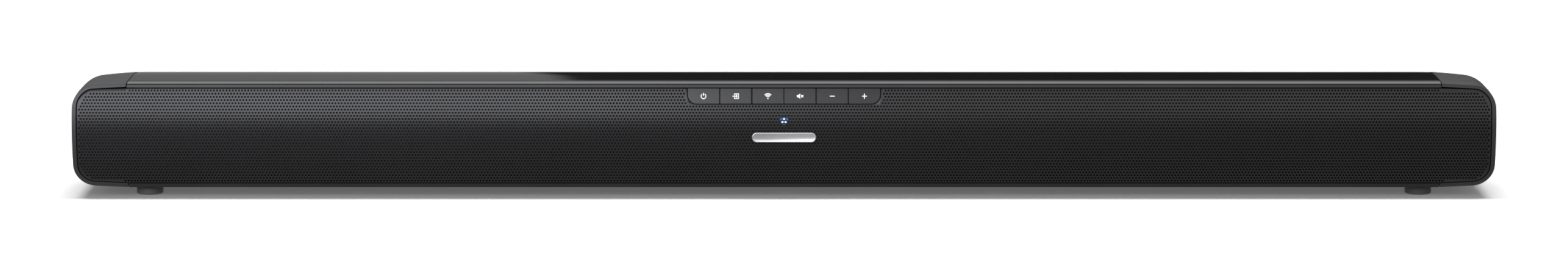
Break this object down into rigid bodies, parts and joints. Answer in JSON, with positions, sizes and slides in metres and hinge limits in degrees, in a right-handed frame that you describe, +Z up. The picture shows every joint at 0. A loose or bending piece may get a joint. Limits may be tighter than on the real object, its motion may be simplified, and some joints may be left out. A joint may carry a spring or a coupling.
{
  "type": "soundbar",
  "caption": "Slim free-standing or wall-hung soundbar with perforated bulged front grille, gloss top, rounded end caps, front key row and two full-range drivers.",
  "frame": {"origin": "middle of the bar's footprint, on the surface that its feet stand on", "axes": "+Z up, +X along the length to the right seen from the front, the grille faces -Y"},
  "size_m": [0.8, 0.09, 0.065],
  "materials": {
    "top_panel_gloss": "polished black",
    "key_gloss": "satin gloss black with white printed symbols",
    "cap_plastic": "fine matte dark grey",
    "black_plastic": "moulded matte black",
    "grille_steel": "satin dark grey paint, perforated",
    "acoustic_cloth": "black woven",
    "badge_metal": "brushed silver",
    "circuit_board": "green solder mask",
    "led_lens": "blue lit lens",
    "clear_plastic": "clear acrylic",
    "dark_lens": "infrared filter",
    "winding_tape": "taped copper windings on a ferrite core",
    "aluminium": "extruded",
    "plated_steel": "zinc or nickel plated",
    "socket_plastic": "moulded black",
    "lead_sleeve": "insulated lead",
    "ribbon_sleeve": "flat flexible cable",
    "ferrite": "sintered ferrite",
    "cone_paper": "pressed black paper",
    "soft_rubber": "moulded roll",
    "spider_cloth": "corrugated resin-dipped cloth",
    "foot_rubber": "matte rubber"
  },
  "bodies": {
    "housing": {"acoustic_cloth": "acoustic_cloth", "aux_socket": "socket_plastic", "badge_plate": "badge_metal", "button_frame": "black_plastic", "connector_panel": "black_plastic", "control_board": "circuit_board", "front_baffle": "black_plastic", "front_grille": "grille_steel", "front_left_foot": "foot_rubber", "front_right_foot": "foot_rubber", "hdmi_socket": "plated_steel", "heat_sink": "aluminium", "left_driver_basket": "plated_steel", "left_driver_magnet": "ferrite", "left_driver_spider": "spider_cloth", "left_driver_surround": "soft_rubber", "left_driver_yoke": "plated_steel", "left_end_cap": "cap_plastic", "left_hanger_plate": "plated_steel", "left_port_tube": "black_plastic", "left_speaker_lead": "lead_sleeve", "light_guide": "clear_plastic", "main_board": "circuit_board", "mute_switch": "plated_steel", "optical_socket": "socket_plastic", "power_board": "circuit_board", "power_inlet": "socket_plastic", "power_panel": "black_plastic", "power_switch": "plated_steel", "rear_cover": "black_plastic", "rear_left_foot": "foot_rubber", "rear_right_foot": "foot_rubber", "remote_receiver": "dark_lens", "ribbon_cable": "ribbon_sleeve", "right_driver_basket": "plated_steel", "right_driver_magnet": "ferrite", "right_driver_spider": "spider_cloth", "right_driver_surround": "soft_rubber", "right_driver_yoke": "plated_steel", "right_end_cap": "cap_plastic", "right_hanger_plate": "plated_steel", "right_port_tube": "black_plastic", "right_speaker_lead": "lead_sleeve", "source_switch": "plated_steel", "status_led": "led_lens", "top_panel": "top_panel_gloss", "transformer": "winding_tape", "usb_socket": "plated_steel", "volume_down_switch": "plated_steel", "volume_up_switch": "plated_steel", "wireless_module": "plated_steel", "wireless_switch": "plated_steel"},
    "power_key": {"power_button": "key_gloss"},
    "source_key": {"source_button": "key_gloss"},
    "wireless_key": {"wireless_button": "key_gloss"},
    "mute_key": {"mute_button": "key_gloss"},
    "volume_down_key": {"volume_down_button": "key_gloss"},
    "volume_up_key": {"volume_up_button": "key_gloss"},
    "left_cone": {"left_driver_cone": "cone_paper"},
    "right_cone": {"right_driver_cone": "cone_paper"}
  },
  "joints": [
    {"name": "power_press", "type": "slide", "parent": "housing", "child": "power_key", "axis": [0, 1, 0], "range_m": [0, 0.0006], "stiffness_N_per_m": 1500, "springref_m": -0.0002},
    {"name": "source_press", "type": "slide", "parent": "housing", "child": "source_key", "axis": [0, 1, 0], "range_m": [0, 0.0006], "stiffness_N_per_m": 1500, "springref_m": -0.0002},
    {"name": "wireless_press", "type": "slide", "parent": "housing", "child": "wireless_key", "axis": [0, 1, 0], "range_m": [0, 0.0006], "stiffness_N_per_m": 1500, "springref_m": -0.0002},
    {"name": "mute_press", "type": "slide", "parent": "housing", "child": "mute_key", "axis": [0, 1, 0], "range_m": [0, 0.0006], "stiffness_N_per_m": 1500, "springref_m": -0.0002},
    {"name": "volume_down_press", "type": "slide", "parent": "housing", "child": "volume_down_key", "axis": [0, 1, 0], "range_m": [0, 0.0006], "stiffness_N_per_m": 1500, "springref_m": -0.0002},
    {"name": "volume_up_press", "type": "slide", "parent": "housing", "child": "volume_up_key", "axis": [0, 1, 0], "range_m": [0, 0.0006], "stiffness_N_per_m": 1500, "springref_m": -0.0002},
    {"name": "left_cone_travel", "type": "slide", "parent": "housing", "child": "left_cone", "axis": [0, 1, 0], "range_m": [-0.002, 0.002], "stiffness_N_per_m": 1500, "deforming": ["left_driver_surround", "left_driver_spider"]},
    {"name": "right_cone_travel", "type": "slide", "parent": "housing", "child": "right_cone", "axis": [0, 1, 0], "range_m": [-0.002, 0.002], "stiffness_N_per_m": 1500, "deforming": ["right_driver_surround", "right_driver_spider"]}
  ]
}
